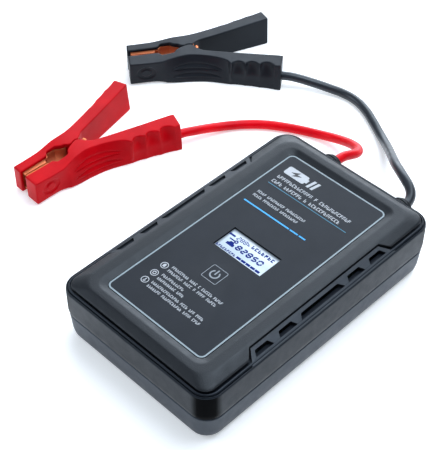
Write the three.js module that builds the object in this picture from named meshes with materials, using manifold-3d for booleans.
// Jump starter pack: a flat capacitor case lying on four rubber feet, with a red and a black
// lead that leave its rear wall and end in spring clamps lying on the same surface.
// Millimetres, +Z up. The origin is under the centre of the case, at the height of the surface.
// +X is the case's right side, +Y runs along its long direction to the wall that the leads leave.

import * as THREE from 'three';
import { mergeVertices } from 'three/addons/utils/BufferGeometryUtils.js';
import { ConvexGeometry } from 'three/addons/geometries/ConvexGeometry.js';
import Module from 'manifold-3d';

const wasm = await Module();
wasm.setup();

// ---------------------------------------------------------------- driving dimensions

const gap = 0.3;                 // between pieces that touch
const halfWidth = 72;            // case, across X
const halfLength = 115;          // case, along Y
const cornerRadius = 14.3;       // upright corners of the case
const wall = 2.6;                // thickness of the case's walls
const baseZ = 1;                 // underside of the lower shell; the feet stand below it
const seamZ = 23.5;              // joint line of the lower shell and the middle frame
const lipZ = 47;                 // outer top edge of the middle frame
const coverEdgeZ = 48.5;         // lower edge of the top cover
const rimZ = 52.9;               // flat rim of the top cover
const panelZ = 51;               // face of the label panel

const coverEdge = { a: 67.4, b: 110.8, r: 8.6 };   // half sizes and corner radius
const coverRim = { a: 59, b: 104.4, r: 13 };
const recessTop = { a: 50.6, b: 98, r: 8 };
const panelSize = { a: 46.1, b: 93.5, r: 5 };

const displayHole = { x: 0, y: -3.9, a: 22.6, b: 10.7 };  // display window in the panel
const key = { x: -0.3, y: -35.2, half: 6.5, r: 2.4 };
const notch = { bottomY: 72.5, topY: 65, innerX: 60.7 };  // cut in the cover for the vent strip
const leadX = { red: -28, black: 40 };
const leadZ = 35;
const leadDiameter = 7.6;

const cell = { radius: 17.5, length: 62, count: 5, pitch: 36, firstY: -90, startX: -57, z: 24.2 };
const screwAt = { x: 62.5, y: 60 };
const footAt = { x: 55, y: 96, radius: 8 };

const clamp = {
  height: 24,
  wall: 3,
  pivot: [-1, -1],
  pinRadius: 2,
  earRadius: 5.2,
  splay: THREE.MathUtils.degToRad(18),   // each handle's angle to the clamp's axis
};
const clampPlaces = {
  red: { x: -193.3, y: 8, angle: 2.5 },
  black: { x: -220.4, y: 156.5, angle: 36.4 },
};

// Routes of the two leads, from inside the grommet to inside the clamp handle.
const redRoute = [
  [-28, 119.3, 35], [-28, 126.6, 35], [-27.7, 134, 34.3], [-26.8, 141.2, 32],
  [-27.2, 148.6, 28.6], [-31, 155.8, 24.8], [-38.4, 161.3, 20.6], [-47.4, 165.4, 16],
  [-58, 168.2, 11], [-70, 169, 6.6], [-83, 166, 4.3], [-96, 160.4, 3.9],
  [-108.6, 153.4, 3.9], [-120.4, 145.4, 3.9], [-131, 135.6, 3.9], [-140, 124.3, 4.2],
  [-146, 113.2, 5.4], [-149.6, 102.7, 7.7], [-152.2, 93.2, 9.8], [-154.7, 86.6, 10.8],
  [-157.1, 80.1, 11], [-159.3, 74.2, 11],
];
const blackRoute = [
  [40, 119.3, 35], [40, 125.2, 35.1], [38.8, 130.6, 35.5], [36, 135.3, 36.2],
  [31.8, 139.1, 36.9], [26.4, 142.3, 37.3], [20.2, 145.8, 36.9], [12.7, 150.8, 35.2],
  [4.2, 157.4, 31.8], [-4.6, 166, 26.4], [-13.6, 175.6, 19.4], [-23.4, 185.8, 12.2],
  [-34.8, 195.6, 6.6], [-47.6, 204.2, 4.2], [-60.2, 211.6, 3.9], [-73.2, 218.2, 3.9],
  [-86.8, 222.4, 3.9], [-100.4, 222.4, 4], [-113.8, 218, 5.2], [-126.8, 211.4, 7.6],
  [-138.8, 204, 10.2], [-144.5, 200.2, 11], [-150.2, 196.2, 11], [-155.3, 192.5, 11],
];

// ---------------------------------------------------------------- materials

function plastic(color, roughness) {
  return new THREE.MeshStandardMaterial({ color, roughness, metalness: 0 });
}
function metal(color, roughness) {
  return new THREE.MeshStandardMaterial({ color, roughness, metalness: 1 });
}
const materials = {
  cover: plastic('#43474f', 0.6),
  frame: plastic('#3c4048', 0.55),
  shell: plastic('#5b606b', 0.6),
  panel: plastic('#43474f', 0.5),
  lens: plastic('#e6f0f8', 0.15),
  board: plastic('#1f5c3a', 0.5),
  rubber: plastic('#17181a', 0.85),
  cell: plastic('#2b3d6b', 0.4),
  tray: plastic('#2c2e33', 0.7),
  relay: plastic('#1c1d20', 0.5),
  steel: metal('#b9bcc2', 0.35),
  copper: metal('#c8743c', 0.35),
  aluminium: metal('#9da1a8', 0.4),
  redPlastic: plastic('#d8203a', 0.5),
  blackPlastic: plastic('#33373f', 0.5),
  redLead: plastic('#ea001c', 0.3),
  blackLead: plastic('#2b2e33', 0.3),
};

const part = new THREE.Group();

function addNode(name, geometry, material, parent = part) {
  const mesh = new THREE.Mesh(geometry, material);
  mesh.name = name;
  parent.add(mesh);
  return mesh;
}

// ---------------------------------------------------------------- solids

function toSolid(geometry) {
  if (!geometry.isBufferGeometry) return geometry;
  const plain = geometry.clone();
  plain.deleteAttribute('normal');
  plain.deleteAttribute('uv');
  const merged = mergeVertices(plain, 1e-4);
  return new wasm.Manifold(new wasm.Mesh({
    numProp: 3,
    vertProperties: new Float32Array(merged.attributes.position.array),
    triVerts: new Uint32Array(merged.index.array),
  }));
}

function toGeometry(solid) {
  const mesh = solid.getMesh();
  const geometry = new THREE.BufferGeometry();
  geometry.setAttribute('position', new THREE.BufferAttribute(mesh.vertProperties, 3));
  geometry.setIndex(new THREE.BufferAttribute(mesh.triVerts, 1));
  geometry.computeVertexNormals();
  return geometry;
}

// Joins everything in `add` and cuts away everything in `cut`; both hold geometries or solids.
function shape(add, cut = []) {
  let solid = add.map(toSolid).reduce((sum, next) => sum.add(next));
  for (const tool of cut) solid = solid.subtract(toSolid(tool));
  return toGeometry(solid);
}

// A convex solid through rounded rectangles: each level is [half X, half Y, corner radius, Z].
function roundedHull(levels, cornerSteps = 5) {
  const points = [];
  for (const [a, b, r, z] of levels) {
    for (let corner = 0; corner < 4; corner += 1) {
      const signX = corner === 0 || corner === 3 ? 1 : -1;
      const signY = corner < 2 ? 1 : -1;
      for (let step = 0; step <= cornerSteps; step += 1) {
        const angle = (corner + step / cornerSteps) * Math.PI / 2;
        points.push(new THREE.Vector3(
          signX * (a - r) + r * Math.cos(angle),
          signY * (b - r) + r * Math.sin(angle),
          z,
        ));
      }
    }
  }
  return new ConvexGeometry(points);
}

function block(x0, x1, y0, y1, z0, z1) {
  const geometry = new THREE.BoxGeometry(x1 - x0, y1 - y0, z1 - z0);
  return geometry.translate((x0 + x1) / 2, (y0 + y1) / 2, (z0 + z1) / 2);
}

function outline(points) {
  return new THREE.Shape(points.map(([x, y]) => new THREE.Vector2(x, y)));
}

function prism(points, z0, z1) {
  const geometry = new THREE.ExtrudeGeometry(outline(points), { depth: z1 - z0, bevelEnabled: false });
  return geometry.translate(0, 0, z0);
}

// An upright cylinder.
function post(x, y, radius, z0, z1, sides = 20) {
  const geometry = new THREE.CylinderGeometry(radius, radius, z1 - z0, sides);
  return geometry.rotateX(Math.PI / 2).translate(x, y, (z0 + z1) / 2);
}

// A lathed ring: profile points are [radius, height]; its axis ends up along +Z.
function lathed(profile, segments) {
  const points = profile.map(([radius, height]) => new THREE.Vector2(radius, height));
  return new THREE.LatheGeometry(points, segments).rotateX(Math.PI / 2);
}

function arc(cx, cy, radius, fromDegrees, toDegrees, steps) {
  const points = [];
  for (let step = 0; step <= steps; step += 1) {
    const angle = THREE.MathUtils.degToRad(fromDegrees + (toDegrees - fromDegrees) * step / steps);
    points.push([cx + radius * Math.cos(angle), cy + radius * Math.sin(angle)]);
  }
  return points;
}

function tubeAlong(curve, radius, sides, steps) {
  const section = outline(arc(0, 0, radius, 0, 360 * (sides - 1) / sides, sides - 1));
  return new THREE.ExtrudeGeometry(section, { steps, extrudePath: curve, bevelEnabled: false });
}

function smoothCurve(points) {
  const path = points.map(([x, y, z]) => new THREE.Vector3(x, y, z));
  return new THREE.CatmullRomCurve3(path, false, 'centripetal');
}

const corners = [[1, 1], [-1, 1], [-1, -1], [1, -1]];

// ---------------------------------------------------------------- case

function buildLowerShell() {
  const outer = roundedHull([
    [halfWidth - 6.4, halfLength - 6.4, cornerRadius - 4, baseZ],
    [halfWidth - 3.8, halfLength - 3.8, cornerRadius - 2, baseZ + 1.2],
    [halfWidth - 1.6, halfLength - 1.8, cornerRadius, baseZ + 5],
    [halfWidth - 0.5, halfLength - 0.6, cornerRadius, seamZ - gap / 2],
  ]);
  const floorZ = baseZ + 2.4;
  const inner = roundedHull([
    [halfWidth - 7, halfLength - 7, cornerRadius - 5, floorZ],
    [halfWidth - 1.6 - wall, halfLength - 1.8 - wall, cornerRadius - wall, floorZ + 4],
    [halfWidth - 0.5 - wall, halfLength - 0.6 - wall, cornerRadius - wall, seamZ + 1],
  ]);
  const hollow = toSolid(outer).subtract(toSolid(inner));
  const bosses = [];
  const holes = [];
  for (const [sx, sy] of corners) {
    const x = sx * screwAt.x;
    const y = sy * screwAt.y;
    bosses.push(post(x, y, 4.6, floorZ - 1, seamZ - gap / 2));
    holes.push(post(x, y, 1.8, baseZ - 1, seamZ + 1, 12));
    holes.push(post(x, y, 3.5, baseZ - 1, baseZ + 3.6, 16));
    holes.push(post(sx * footAt.x, sy * footAt.y, footAt.radius + gap, baseZ - 1, baseZ + 1, 24));
  }
  addNode('lower_shell', shape([hollow, ...bosses], holes), materials.shell);
}

// One sloping strip with five slanted slots, in its own plane: X runs along the case and Y up
// the slope. It is then tilted and set on the long side given by `side`.
function ventStrip(side) {
  const rise = 3.6;
  const run = halfWidth - 0.8 - (notch.innerX + 1.4);
  const slope = Math.hypot(run, rise);
  const thickness = 2.2;
  const plate = prism([
    [-notch.bottomY + 0.6, 0], [notch.bottomY - 0.6, 0],
    [notch.topY - 0.6, slope], [-notch.topY + 0.6, slope],
  ], -thickness, 0);
  const slots = [[0, 18.4, 22], [34.4, 6, 8.6], [-34.4, 6, 8.6], [57, 5.8, 8.4], [-57, 5.8, 8.4]]
    .map(([centre, upper, lower]) => prism([
      [centre - lower, 3.4], [centre + lower, 3.4], [centre + upper, 7.6], [centre - upper, 7.6],
    ], -2 * thickness, thickness));
  return shape([plate], slots)
    .rotateX(Math.atan2(rise, run))
    .rotateZ(Math.PI / 2)
    .translate(halfWidth - 0.8, 0, lipZ)
    .rotateZ(side > 0 ? 0 : Math.PI);
}

function buildMiddleFrame() {
  const outer = roundedHull([
    [halfWidth - 0.5, halfLength - 0.6, cornerRadius, seamZ + gap / 2],
    [halfWidth, halfLength, cornerRadius, seamZ + 2.5],
    [halfWidth, halfLength, cornerRadius, lipZ - 0.5],
    [halfWidth - 0.6, halfLength - 0.6, cornerRadius, lipZ],
    [coverEdge.a + 0.4, coverEdge.b + 0.4, coverEdge.r + 0.4, coverEdgeZ - gap],
  ]);
  const inner = roundedHull([
    [halfWidth - wall, halfLength - wall, cornerRadius - wall, seamZ - 1],
    [halfWidth - wall, halfLength - wall, cornerRadius - wall, lipZ - 2.7],
    [coverRim.a + 4, coverRim.b + 4, coverEdge.r, lipZ - 1.5],
    [coverRim.a + 4, coverRim.b + 4, coverEdge.r, coverEdgeZ + 1],
  ]);
  const hollow = toSolid(outer).subtract(toSolid(inner));
  const bosses = [];
  const holes = [];
  for (const [sx, sy] of corners) {
    const x = sx * screwAt.x;
    const y = sy * screwAt.y;
    bosses.push(post(x, y, 4.6, seamZ + gap / 2, lipZ - 3));
    bosses.push(block(Math.min(x, x + sx * 8), Math.max(x, x + sx * 8), y - 1.2, y + 1.2,
      seamZ + 3, lipZ - 3));
    holes.push(post(x, y, 1.8, seamZ - 1, seamZ + 12, 12));
  }
  for (const x of [leadX.red, leadX.black]) {
    holes.push(new THREE.CylinderGeometry(7.3, 7.3, 3 * wall, 24).translate(x, halfLength, leadZ));
  }
  const frame = shape([hollow, ventStrip(1), ventStrip(-1), ...bosses], holes);
  addNode('middle_frame', frame, materials.frame);
}

// A block of the display hole's outline, larger by `grow` on every side.
function displayBlock(grow, z0, z1) {
  const { x, y, a, b } = displayHole;
  return block(x - a - grow, x + a + grow, y - b - grow, y + b + grow, z0, z1);
}

function keyOutline(grow) {
  const half = key.half + grow;
  const r = key.r + grow;
  const points = [];
  corners.forEach(([sx, sy], corner) => {
    points.push(...arc(key.x + sx * (half - r), key.y + sy * (half - r), r,
      corner * 90, corner * 90 + 90, 3));
  });
  return points;
}

function buildTopCover() {
  const outer = roundedHull([
    [coverEdge.a, coverEdge.b, coverEdge.r, coverEdgeZ],
    [coverEdge.a - 1.2, coverEdge.b - 1, coverEdge.r + 0.6, coverEdgeZ + 1.2],
    [coverRim.a, coverRim.b, coverRim.r, rimZ],
  ]);
  const recessFloorZ = panelZ - 1 - gap;
  const recess = roundedHull([
    [panelSize.a + gap, panelSize.b + gap, panelSize.r, recessFloorZ],
    [panelSize.a + gap, panelSize.b + gap, panelSize.r, panelZ],
    [panelSize.a + 2.2, panelSize.b + 2.2, 6.4, panelZ + 0.8],
    [recessTop.a, recessTop.b, recessTop.r, rimZ],
    [recessTop.a, recessTop.b, recessTop.r, rimZ + 1],
  ]);
  const pocket = toSolid(roundedHull([
    [coverRim.a + 3, coverRim.b + 3, coverEdge.r, coverEdgeZ - 1],
    [coverRim.a - 2, coverRim.b - 2, coverEdge.r, rimZ - 2.2],
  ])).subtract(toSolid(roundedHull([
    [panelSize.a + 3, panelSize.b + 3, panelSize.r, coverEdgeZ - 2],
    [panelSize.a + 3, panelSize.b + 3, panelSize.r, rimZ],
  ])));
  const notches = [1, -1].map((side) => prism([
    [side * (coverEdge.a + 2), -notch.bottomY - 2.2],
    [side * notch.innerX, -notch.topY],
    [side * notch.innerX, notch.topY],
    [side * (coverEdge.a + 2), notch.bottomY + 2.2],
  ], coverEdgeZ - 1, rimZ + 1));
  const openings = [
    displayBlock(0, coverEdgeZ - 1, rimZ),
    prism(keyOutline(0.5), coverEdgeZ - 1, rimZ),
  ];
  const cover = shape([outer], [recess, pocket, ...notches, ...openings]);
  addNode('top_cover', cover, materials.cover);
}

function buildPanel() {
  const plate = roundedHull([
    [panelSize.a, panelSize.b, panelSize.r, panelZ - 1],
    [panelSize.a, panelSize.b, panelSize.r, panelZ],
  ]);
  const keyHole = prism(keyOutline(0.4), panelZ - 2, panelZ + 1);
  const displayCut = displayBlock(0, panelZ - 2, panelZ + 1);
  addNode('label_panel', shape([plate], [displayCut, keyHole]), materials.panel);

  addNode('display_window', displayBlock(-gap, panelZ - 2.6, panelZ - 0.5), materials.lens);

  const pad = prism(keyOutline(0), panelZ - 2, panelZ);
  addNode('power_button', shape([pad, post(key.x, key.y, 1.8, panelZ - 2.4, panelZ - 1.5, 12)]),
    materials.panel);
}

function buildDisplayBoard() {
  const topZ = panelZ - 5;
  addNode('display_board', block(-30, 30, -46, 12, topZ - 1.6, topZ), materials.board);
  addNode('display_module', displayBlock(3, topZ + gap, panelZ - 2.9), materials.lens);
  const body = block(key.x - 3, key.x + 3, key.y - 3, key.y + 3, topZ + gap, topZ + 1.6);
  const plunger = post(key.x, key.y, 1.5, topZ + 1.4, panelZ - 3, 12);
  addNode('power_switch', shape([body, plunger]), materials.steel);
}

// ---------------------------------------------------------------- inside the case

function buildCapacitors() {
  const sleeve = [
    [0, 0], [cell.radius - 1, 0], [cell.radius, 1], [cell.radius, cell.length - 1],
    [cell.radius - 1, cell.length], [0, cell.length],
  ];
  for (let index = 0; index < cell.count; index += 1) {
    const can = lathed(sleeve, 18).rotateY(Math.PI / 2);
    const pins = [-5, 5].map((offset) => new THREE.CylinderGeometry(1.6, 1.6, 4, 8)
      .rotateZ(Math.PI / 2).translate(cell.length + 1, 0, offset));
    const geometry = shape([can, ...pins])
      .translate(cell.startX, cell.firstY + index * cell.pitch, cell.z);
    addNode(`capacitor_cell_${index + 1}`, geometry, materials.cell);
  }
}

function buildTray() {
  const x0 = cell.startX + 6;
  const x1 = cell.startX + cell.length - 8;
  const y0 = cell.firstY - cell.pitch / 2;
  const y1 = y0 + cell.count * cell.pitch;
  const bottom = baseZ + 2.4 + gap;
  const cradle = block(x0, x1, y0, y1, bottom, cell.z - 8);
  const hollows = [];
  for (let index = 0; index < cell.count; index += 1) {
    hollows.push(new THREE.CylinderGeometry(cell.radius + gap, cell.radius + gap, 200, 24)
      .rotateZ(Math.PI / 2).translate(0, y0 + (index + 0.5) * cell.pitch, cell.z));
  }
  const middle = block(x0 + 8, x1 - 8, y0 - 1, y1 + 1, bottom + 1.4, cell.z);
  addNode('capacitor_tray', shape([cradle], [...hollows, middle]), materials.tray);

  const boardX = cell.startX + cell.length + 3.6;
  addNode('balance_board', block(boardX, boardX + 1.6, y0 + 3, y1 - 3, 8, 40), materials.board);
}

function buildPowerStage() {
  const floorZ = baseZ + 2.4;
  const boardTop = floorZ + 6;
  const board = block(14, 55, -96, 66, boardTop - 1.6, boardTop);
  const standoffs = [[19, -90], [50, -90], [19, 60], [50, 60]]
    .map(([x, y]) => post(x, y, 2.6, floorZ + gap, boardTop - 1, 10));
  addNode('main_board', shape([board, ...standoffs]), materials.board);

  const finBase = block(20, 50, -78, -30, boardTop + gap, boardTop + 4);
  const fins = [];
  for (let index = 0; index < 7; index += 1) {
    const x = 20.6 + index * 4.6;
    fins.push(block(x, x + 1.4, -78, -30, boardTop + 3.8, boardTop + 22));
  }
  addNode('heat_sink', shape([finBase, ...fins]), materials.aluminium);
  addNode('relay', block(22, 48, -18, 12, boardTop + gap, boardTop + 24), materials.relay);
  addNode('fuse', block(26, 44, 24, 50, boardTop + gap, boardTop + 9), materials.relay);
}

function buildLeadEnds(color) {
  const x = leadX[color];
  const barrelEnd = 100;
  const barrel = new THREE.CylinderGeometry(4.6, 4.6, 12, 16).translate(x, barrelEnd - 6, leadZ);
  const tongue = block(x - 6, x + 6, barrelEnd - 28, barrelEnd - 10, leadZ - 1.2, leadZ + 1.2);
  const hole = post(x, barrelEnd - 21, 3.2, leadZ - 3, leadZ + 3, 14);
  addNode(`${color}_ring_terminal`, shape([barrel, tongue], [hole]), materials.copper);

  const from = barrelEnd + gap;
  const to = 119;
  const inner = new THREE.CylinderGeometry(leadDiameter / 2, leadDiameter / 2, to - from, 12)
    .translate(x, (from + to) / 2, leadZ);
  addNode(`${color}_inner_lead`, inner, materials[`${color}Lead`]);
}

function buildBusBars() {
  const boltZ = leadZ - 1.2 - gap;
  const barRed = [
    block(leadX.red - 6, leadX.red + 6, 74, 88, boltZ - 2, boltZ),
    block(leadX.red - 6, 20, 74, 80, boltZ - 2, boltZ),
    block(18, 20, 74, 80, 16, boltZ),
  ];
  addNode('positive_bus_bar', shape(barRed), materials.copper);
  const barBlack = [
    block(leadX.black - 6, leadX.black + 6, 74, 88, boltZ - 2, boltZ),
    block(leadX.black - 2, leadX.black, 74, 80, 16, boltZ),
  ];
  addNode('negative_bus_bar', shape(barBlack), materials.copper);
}

// ---------------------------------------------------------------- feet, screws, grommets

function buildFeetAndScrews() {
  corners.forEach(([sx, sy], index) => {
    const foot = lathed([
      [0, 0], [footAt.radius - 1, 0], [footAt.radius, 0.6],
      [footAt.radius, baseZ + 1 - gap], [0, baseZ + 1 - gap],
    ], 24).translate(sx * footAt.x, sy * footAt.y, 0);
    addNode(`foot_${index + 1}`, foot, materials.rubber);

    const screw = lathed([
      [0, 1.8], [2.6, 1.8], [3, 2.4], [3, baseZ + 3.3], [1.5, baseZ + 3.3],
      [1.5, seamZ + 9], [0, seamZ + 10.5],
    ], 12).translate(sx * screwAt.x, sy * screwAt.y, 0);
    addNode(`case_screw_${index + 1}`, screw, materials.steel);
  });
}

// Rubber grommet: an outer flange, a neck through the wall, an inner flange and a ribbed nose.
function buildGrommet(color) {
  const bore = leadDiameter / 2 + gap;
  const outside = halfLength + gap;
  const inside = halfLength - wall - gap;
  const profile = [
    [bore, inside - 2.4], [9, inside - 2.4], [9, inside], [7, inside], [7, outside],
    [9.5, outside], [9.5, outside + 2.2], [8.2, outside + 2.4], [8.2, outside + 3.4],
    [8.9, outside + 3.6], [8.9, outside + 5.2], [6.4, outside + 8.4],
    [bore, outside + 8.6], [bore, inside - 2.4],
  ];
  const geometry = lathed(profile, 18).rotateX(-Math.PI / 2).translate(leadX[color], 0, leadZ);
  addNode(`${color}_grommet`, geometry, materials.rubber);
}

function buildLead(color, route) {
  const curve = smoothCurve(route);
  addNode(`${color}_lead`, tubeAlong(curve, leadDiameter / 2, 8, 32), materials[`${color}Lead`]);
}

// ---------------------------------------------------------------- clamps

// A row of shallow finger grips along a handle's outer edge, dipping to the left of the way.
function fingerGrips(from, to, count, depth) {
  const start = new THREE.Vector2(...from);
  const way = new THREE.Vector2(...to).sub(start);
  const inward = new THREE.Vector2(-way.y, way.x).normalize();
  const steps = 4;
  const points = [];
  for (let step = 0; step <= count * steps; step += 1) {
    const dip = depth * Math.abs(Math.sin(Math.PI * step / steps));
    const at = start.clone().addScaledVector(way, step / (count * steps));
    points.push(at.addScaledVector(inward, dip).toArray());
  }
  return points;
}

// Outlines seen from above, with the jaws towards -Y and the handles towards +Y.
function cableHandleOutline() {
  const [px, py] = clamp.pivot;
  return [
    [0.2, -55], [13, -55], [12.8, -33], [14.2, -26.5], [16.4, -22.5], [17, -4], [19.8, 12.5],
    ...fingerGrips([26, 30.4], [38.4, 68], 3, 1.4),
    [37.6, 72.4], [24.8, 77], [23.4, 73.2], [3.6, 10.6], [1.4, 7.4],
    ...arc(px, py, clamp.earRadius, 100, 215, 8),
    [-3.6, -9], [-0.6, -13.5], [3, -17], [3.6, -27], [0, -31],
  ];
}

function leverHandleOutline() {
  const [px, py] = clamp.pivot;
  return [
    [-6.6, -55.2], [-7.8, -30], [-11, -27], [-12.6, -17.5], [-8.6, -14], [-8.2, -10.4], [-5.6, -8.6],
    ...arc(px, py, clamp.earRadius + 0.6, 222, 150, 6),
    [-11, 8.6], [-31.6, 71.2], [-32.6, 74], [-41.6, 71],
    ...fingerGrips([-42.6, 68.4], [-29.6, 31], 3, 1.2),
    [-25.4, 19], [-20.6, -3], [-19.4, -18], [-17.2, -27], [-16.4, -33], [-15.6, -55.2],
  ];
}

// Side view of either half, [along, up]: a little lower at the jaws than at the handles.
function sideProfile() {
  const top = clamp.height;
  return [
    [-60, 1.4], [-26, 1], [-10, 0], [90, 0], [90, top], [-10, top], [-26, top - 1], [-60, top - 1.4],
  ];
}

function sideEnvelope() {
  return prism(sideProfile(), -60, 60).rotateY(Math.PI / 2).rotateX(Math.PI / 2);
}

function clampHalf(points, channel, extra, cut) {
  const body = toSolid(prism(points, 0, clamp.height)).intersect(toSolid(sideEnvelope()));
  const room = prism(channel, clamp.wall, clamp.height - clamp.wall);
  return shape([body.subtract(toSolid(room)), ...extra], cut);
}

// The line that the lead follows inside the cable handle, from its end inwards.
const handleEnd = new THREE.Vector3(33, 73.6, 11);
const handleAxis = new THREE.Vector3(Math.sin(clamp.splay), Math.cos(clamp.splay), 0);

function rodInHandle(radius, fromEnd, toEnd, sides) {
  const centre = handleEnd.clone().addScaledVector(handleAxis, -(fromEnd + toEnd) / 2);
  return new THREE.CylinderGeometry(radius, radius, toEnd - fromEnd, sides)
    .rotateZ(-clamp.splay).translate(centre.x, centre.y, centre.z);
}

// A round boss with a dished rim on the outer face of a jaw, at the face's X.
function jawBoss(x, side) {
  return lathed([[0, -2], [8, -2], [8, 1.2], [6.6, 1.8], [5.4, 0.8], [3, 1.6], [0, 2]], 20)
    .rotateY(side * Math.PI / 2).translate(x, -41, clamp.height / 2);
}

function toothedEdge(x, depth, fromY, toY, teeth) {
  const points = [];
  const pitch = (toY - fromY) / teeth;
  for (let tooth = 0; tooth < teeth; tooth += 1) {
    points.push([x, fromY + tooth * pitch], [x + depth, fromY + (tooth + 0.5) * pitch]);
  }
  points.push([x, toY]);
  return points;
}

function buildSpring(name, parent) {
  const [px, py] = clamp.pivot;
  const wire = 0.8;
  const coil = 3.5;
  const turns = 3.5;
  const stepsPerTurn = 10;
  const low = 8;
  const pitch = 2.1;
  const points = [[px - 8.2, py + 6.8, low], [px - 5.2, py + 3.2, low]];
  for (let step = 0; step <= turns * stepsPerTurn; step += 1) {
    const turn = step / stepsPerTurn;
    const angle = Math.PI * (1 + 2 * turn);
    points.push([px + coil * Math.cos(angle), py + coil * Math.sin(angle), low + turn * pitch]);
  }
  const high = low + turns * pitch;
  points.push([px + 5.2, py + 3.2, high], [px + 8.2, py + 6.8, high]);
  addNode(name, tubeAlong(smoothCurve(points), wire, 6, 46), materials.steel, parent);
}

function buildClamp(color) {
  const [px, py] = clamp.pivot;
  const plasticMaterial = materials[`${color}Plastic`];
  const group = new THREE.Group();
  const place = clampPlaces[color];
  group.position.set(place.x, place.y, 0);
  group.rotation.z = -THREE.MathUtils.degToRad(place.angle);
  part.add(group);

  const pinHole = post(px, py, clamp.pinRadius + gap, 1.5, clamp.height - 1.5, 16);
  const cableChannel = [
    [-10, -52.4], [10.2, -52.4], [10, -30], [13.4, -22], [14, -3], [16, 9], [-10, 9],
  ];
  const cableHandle = clampHalf(cableHandleOutline(), cableChannel, [jawBoss(13, 1)],
    [pinHole, rodInHandle(4.4, -2, 72, 12)]);
  addNode(`${color}_clamp_cable_handle`, cableHandle, plasticMaterial, group);

  const leverChannel = [
    [4, -52.6], [-13, -52.6], [-14, -28], [-16.6, -18], [-17.6, -3], [-19.4, 8], [4, 8],
  ];
  const earLow = clamp.wall + 0.4;
  const earHigh = clamp.height - clamp.wall - 0.4;
  const ears = [[earLow, earLow + 3.4], [earHigh - 3.4, earHigh]].flatMap(([z0, z1]) => [
    post(px, py, clamp.earRadius - 0.4, z0, z1, 20),
    prism([[px, py - 4], [px, py + 4], [-19, 4], [-19, -8]], z0, z1),
  ]);
  const leverHandle = clampHalf(leverHandleOutline(), leverChannel, [...ears, jawBoss(-16, -1)],
    [pinHole]);
  addNode(`${color}_clamp_lever_handle`, leverHandle, plasticMaterial, group);

  const pin = post(px, py, clamp.pinRadius, 1.8, clamp.height - 1.8, 16);
  addNode(`${color}_clamp_pivot_pin`, pin, materials.steel, group);
  buildSpring(`${color}_clamp_spring`, group);

  const jawZ = [clamp.wall + gap + 0.6, clamp.height - clamp.wall - gap - 0.6];
  const cableJaw = [
    ...toothedEdge(-3, 1.4, -51.6, -31.6, 6),
    [1.6, -31], [5.4, -27.6], [5, -17], [6.4, -10], [6.4, 1], [9.6, 1], [9.6, -22],
    [8.4, -29], [4, -33.4], [4, -51.6],
  ];
  addNode(`${color}_clamp_cable_jaw`, prism(cableJaw, ...jawZ), materials.copper, group);
  const leverJaw = [
    ...toothedEdge(-3.5, -1.4, -51.6, -31.6, 6),
    [-8.6, -31], [-12.6, -26.4], [-13.6, -17.6], [-9.8, -13.4], [-9.8, -10.6], [-13.6, -10.6],
    [-15.6, -18], [-14, -27.6], [-12.4, -33.4], [-10.2, -51.6],
  ];
  addNode(`${color}_clamp_lever_jaw`, prism(leverJaw, ...jawZ), materials.copper, group);

  const crimp = rodInHandle(3.9, 6.6, 36, 12);
  addNode(`${color}_clamp_crimp`, crimp, materials.copper, group);
}

// ---------------------------------------------------------------- assembly

buildLowerShell();
buildMiddleFrame();
buildTopCover();
buildPanel();
buildDisplayBoard();
buildCapacitors();
buildTray();
buildPowerStage();
buildBusBars();
buildFeetAndScrews();
for (const color of ['red', 'black']) {
  buildLeadEnds(color);
  buildGrommet(color);
  buildClamp(color);
}
buildLead('red', redRoute);
buildLead('black', blackRoute);

export default part;
